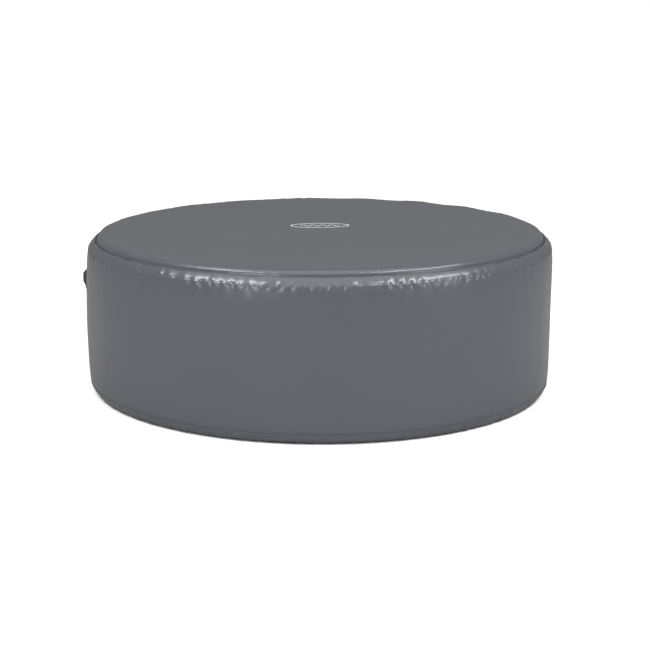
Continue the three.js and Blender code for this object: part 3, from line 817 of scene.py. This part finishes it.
def add_floor():
    """The pool's floor: a thin cushion with rings of round welds."""
    columns = 360
    radii = np.concatenate([[0.001], np.linspace(0.02, POOL_RADIUS, 90)])
    angles = round_angles(columns)
    x, y = radii[:, None] * np.cos(angles), radii[:, None] * np.sin(angles)
    spot = np.cos(math.pi * x / 0.06) * np.cos(math.pi * y / 0.06)
    z = FLOOR_TOP - 0.0035 * np.abs(spot) ** 8
    base = np.full_like(z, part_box("tub_floor")[0][2])
    points = np.concatenate([np.stack([x, y, z], -1), np.stack([x, y, base], -1)[::-1]]).reshape(-1, 3)
    faces = grid_faces(2 * len(radii), columns, wrap_columns=True, wrap_rows=True)
    floor = face_outwards(make_object("floor_cushion", points, faces), 50)
    put(floor, "tub", "tub_inner_vinyl", TUB_INNER, "tub_floor")


# ---- fittings ----

def place_of(node):
    low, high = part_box(node)
    return (low[0] + high[0]) / 2, (low[2] + high[2]) / 2


def fitting(name, node, profile, material, slot, body="tub", corner=0.0012, sides=96):
    """A turned fitting along Y, standing for a CAD node on the same axis."""
    x, z = place_of(node)
    piece = spun(name, rounded(profile, corner), sides, "Y", (x, 0, z))
    return put(piece, body, slot, material, node)


def threaded(inner, outer, start, end, pitch=0.004, depth=0.0012):
    """Points up a threaded spigot from its flange to its mouth."""
    points, place = [], start
    while place + pitch < end - 0.003:
        points += [(outer - depth, place), (outer, place + pitch * 0.35), (outer, place + pitch * 0.55)]
        place += pitch
    return points + [(outer - depth, place), (outer - depth, end), (inner, end)]


def add_water_port(name):
    low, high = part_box(f"{name}_coupling")
    plane, mouth, foot = PORT_PLANE, high[1], low[1]
    profile = [(0.028, foot), (0.036, foot), (0.036, plane), (0.054, plane), (0.054, plane + 0.008),
               (0.040, plane + 0.008)] + threaded(0.028, 0.040, plane + 0.009, mouth)
    fitting(f"{name}_spigot", f"{name}_coupling", profile, BLACK_PLASTIC, "black_plastic", corner=0.0006)
    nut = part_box(f"{name}_lock_nut")
    ring = [(0.0364, nut[0][1]), (0.050, nut[0][1]), (0.050, nut[1][1]), (0.0364, nut[1][1])]
    fitting(f"{name}_nut", f"{name}_lock_nut", ring, PALE_PLASTIC, "pale_plastic")
    add_debris_screen(name)


def add_debris_screen(name):
    """A shallow basket with a row of slots cut through its face."""
    x, z = place_of(f"{name}_debris_screen")
    face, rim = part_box(f"{name}_debris_screen")[0][1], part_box(f"{name}_debris_screen")[1][1]
    basket = [(0, face), (0.041, face), (0.046, face + 0.006), (0.046, rim), (0.043, rim),
              (0.043, face + 0.008), (0.039, face + 0.003), (0, face + 0.003)]
    screen = spun(f"{name}_screen", rounded(basket, 0.001), 96, "Y", (x, 0, z))
    for k in range(-3, 4):
        offset = k * 0.0095
        half = math.sqrt(0.034**2 - offset**2)
        outline = [(0, -0.01), (0.0018, -0.01), (0.0018, 0.01), (0, 0.01)]
        cutter = spun("slot_cutter", rounded(outline, 0), 12, "Y", (0, 0, 0))
        for vert in cutter.data.vertices:
            shift = half if vert.co.x > 0 else -half
            vert.co.x += shift + x
            vert.co.y += face
            vert.co.z += offset + z
        cutting = screen.modifiers.new("slot", "BOOLEAN")
        cutting.object = cutter
        cutting.operation = "DIFFERENCE"
        apply_modifiers(screen)
        bpy.data.objects.remove(cutter)
    screen.data.shade_smooth()
    screen.data.set_sharp_from_angle(angle=math.radians(40))
    put(screen, f"{name}_screen", "pale_plastic", PALE_PLASTIC, f"{name}_debris_screen")


def add_fittings():
    for name in ("inlet", "outlet"):
        add_water_port(name)
    add_air_port()
    add_drain()
    add_inflation_stem()


def add_air_port():
    low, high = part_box("air_coupling")
    plane = PORT_PLANE
    profile = [(0.018, low[1]), (0.024, low[1]), (0.024, plane), (0.040, plane), (0.040, plane + 0.007),
               (0.028, plane + 0.007)] + threaded(0.018, 0.028, plane + 0.008, high[1], 0.0035)
    fitting("air_spigot", "air_coupling", profile, BLACK_PLASTIC, "black_plastic", corner=0.0006)


def add_drain():
    low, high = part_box("drain_coupling")
    profile = [(0.016, low[1]), (0.022, low[1]), (0.022, 0.914), (0.034, 0.914), (0.034, 0.920),
               (0.022, 0.920), (0.022, high[1]), (0.016, high[1])]
    fitting("drain_spigot", "drain_coupling", profile, BLACK_PLASTIC, "black_plastic")
    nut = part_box("drain_lock_nut")
    ring = [(0.0224, nut[0][1]), (0.032, nut[0][1]), (0.032, nut[1][1]), (0.0224, nut[1][1])]
    fitting("drain_nut", "drain_lock_nut", ring, PALE_PLASTIC, "pale_plastic")
    low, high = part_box("drain_cap")
    add_ribbed_cap("drain_screw_cap", "drain_cap", low[1], high[1])
    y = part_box("drain_plug")[0][1]
    profile = [(0, y), (0.008, y), (0.008, y + 0.010), (0.026, y + 0.010), (0.026, y + 0.019),
               (0.015, y + 0.019), (0.0145, y + 0.054), (0.012, y + 0.058), (0, y + 0.058)]
    fitting("drain_stopper", "drain_plug", profile, PALE_PLASTIC, "pale_plastic", "drain_plug", 0.002)


def add_inflation_stem():
    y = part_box("inflation_valve_stem")[0][1]
    profile = [(0, y), (0.011, y), (0.011, y + 0.0074), (0.004, y + 0.0074), (0.004, y + 0.036),
               (0.008, y + 0.036), (0.008, y + 0.042), (0, y + 0.042)]
    fitting("inflation_stem", "inflation_valve_stem", profile, PALE_PLASTIC, "pale_plastic", "inflation_stem")


def add_ribbed_cap(name, node, low, high):
    """A screw cap with finger ribs round its side."""
    x, z = place_of(node)
    sides = 144
    profile = rounded([(0, high - 0.006), (0.0234, high - 0.006), (0.0234, low), (0.028, low),
                       (0.028, high - 0.004), (0.024, high), (0, high)], 0.001)
    verts = []
    for radius, y in profile:
        for k in range(sides):
            angle = TAU * k / sides
            rib = 0.0009 * max(0.0, math.cos(24 * angle)) if radius > 0.0265 else 0
            verts.append((x + (radius - rib) * math.cos(angle), y, z + (radius - rib) * math.sin(angle)))
    cap = make_object(name, verts, grid_faces(len(profile), sides, wrap_columns=True, wrap_rows=True))
    put(face_outwards(cap, 50), "drain_cap", "black_plastic", BLACK_PLASTIC, node)


def dress_cad_nodes():
    """Fittings and hidden pieces whose CAD shape is right keep it and get a finished material."""
    looks = {
        "bottom_ring_panel": TUB_OUTER, "bubble_channel": TUB_INNER, "air_riser": TUB_INNER,
        "inlet_outer_saddle": GASKET, "inlet_inner_saddle": GASKET, "outlet_outer_saddle": GASKET,
        "outlet_inner_saddle": GASKET, "air_outer_saddle": GASKET, "drain_outer_saddle": GASKET,
        "inflation_valve_body": BLACK_PLASTIC, "inflation_valve_cap": BLACK_PLASTIC,
        "lid_valve_body": PALE_PLASTIC, "lid_valve_cap": PALE_PLASTIC,
    }
    for k in range(8):
        looks[f"wall_tensioner_{k + 1}"] = TUB_WEB
    for node, material in looks.items():
        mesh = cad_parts[node].data
        mesh.materials.clear()
        mesh.materials.append(material)


# ---- the studio ----

def add_area_light(name, azimuth, elevation, width, height, power):
    """A softbox aimed at the tub; azimuth 0 is behind the camera, and positive is to its right."""
    a, e = math.radians(azimuth), math.radians(elevation)
    away = np.array([math.sin(a) * math.cos(e), -math.cos(a) * math.cos(e), math.sin(e)])
    data = bpy.data.lights.new(name, "AREA")
    data.shape = "RECTANGLE"
    data.size, data.size_y = width, height
    data.energy = power
    light = bpy.data.objects.new(name, data)
    bpy.context.scene.collection.objects.link(light)
    centre = Matrix.Translation((0, 0, COVER_TOP * 0.6))
    aim = Matrix.Rotation(a, 4, "Z") @ Matrix.Rotation(math.pi / 2 - e, 4, "X")
    light.matrix_world = centre @ Matrix.Translation(tuple(away * LIGHT_DISTANCE)) @ aim


def add_overhead():
    """One very soft light from above, even over the whole floor."""
    data = bpy.data.lights.new("overhead", "SUN")
    data.energy = 2.7
    data.angle = math.radians(85)
    light = bpy.data.objects.new("overhead", data)
    bpy.context.scene.collection.objects.link(light)
    light.rotation_euler = (math.radians(12), 0, 0)


def studio_world():
    """Dim even light from all round, which the camera itself sees as plain white."""
    world = bpy.data.worlds.new("studio")
    world.use_nodes = True
    tree = world.node_tree
    background = tree.nodes["Background"]
    background.inputs["Color"].default_value = (1, 1, 1, 1)
    strength = tree.nodes.new("ShaderNodeMapRange")
    strength.inputs["To Min"].default_value = 0.25
    strength.inputs["To Max"].default_value = 1.0
    path = tree.nodes.new("ShaderNodeLightPath")
    tree.links.new(path.outputs["Is Camera Ray"], strength.inputs["Value"])
    tree.links.new(strength.outputs["Result"], background.inputs["Strength"])
    return world


def floor_paint():
    """Pale matt floor, dimmer to glossy rays, which keeps the vinyl's grazing edges from going white."""
    made = Shader("studio_floor_paint", 0.9, Specular_IOR_Level=0.0)
    made.paint(made.colours(made.noise(0.4, 2), (0.93, 0.93, 0.93), (0.95, 0.95, 0.95)))
    dim = made.node("ShaderNodeBsdfDiffuse")
    dim.inputs["Color"].default_value = (0.30, 0.30, 0.30, 1)
    mix = made.node("ShaderNodeMixShader")
    made.link(made.node("ShaderNodeLightPath").outputs["Is Glossy Ray"], mix.inputs["Fac"])
    made.link(made.surface.outputs["BSDF"], mix.inputs[1])
    made.link(dim.outputs["BSDF"], mix.inputs[2])
    made.link(mix.outputs["Shader"], made.tree.nodes["Material Output"].inputs["Surface"])
    return made.material


def add_studio():
    scene = bpy.context.scene
    scene.view_settings.view_transform = "Standard"
    scene.world = studio_world()
    bpy.ops.mesh.primitive_plane_add(size=FLOOR_SIZE, location=(0, 0, -0.0005))
    floor = bpy.context.object
    floor.name = "studio_floor"
    floor.data.materials.append(floor_paint())
    add_area_light("key_left", -54, 46, 2.0, 0.22, 120)
    add_area_light("key_right", 56, 46, 3.0, 0.22, 150)
    add_area_light("fill_left", -28, 14, 1.6, 1.4, 52)
    add_area_light("fill_right", 50, 14, 1.6, 1.4, 42)
    add_overhead()


add_camera()
add_studio()
add_skirt()
add_hem_band()
add_cutout_binding()
add_badge()
add_top_panel()
add_seam_piping()
add_hem_stitches()
add_handle("left", 176)
add_handle("right", 14)
add_lid()
add_lid_straps()
add_tub()
add_fittings()
dress_cad_nodes()
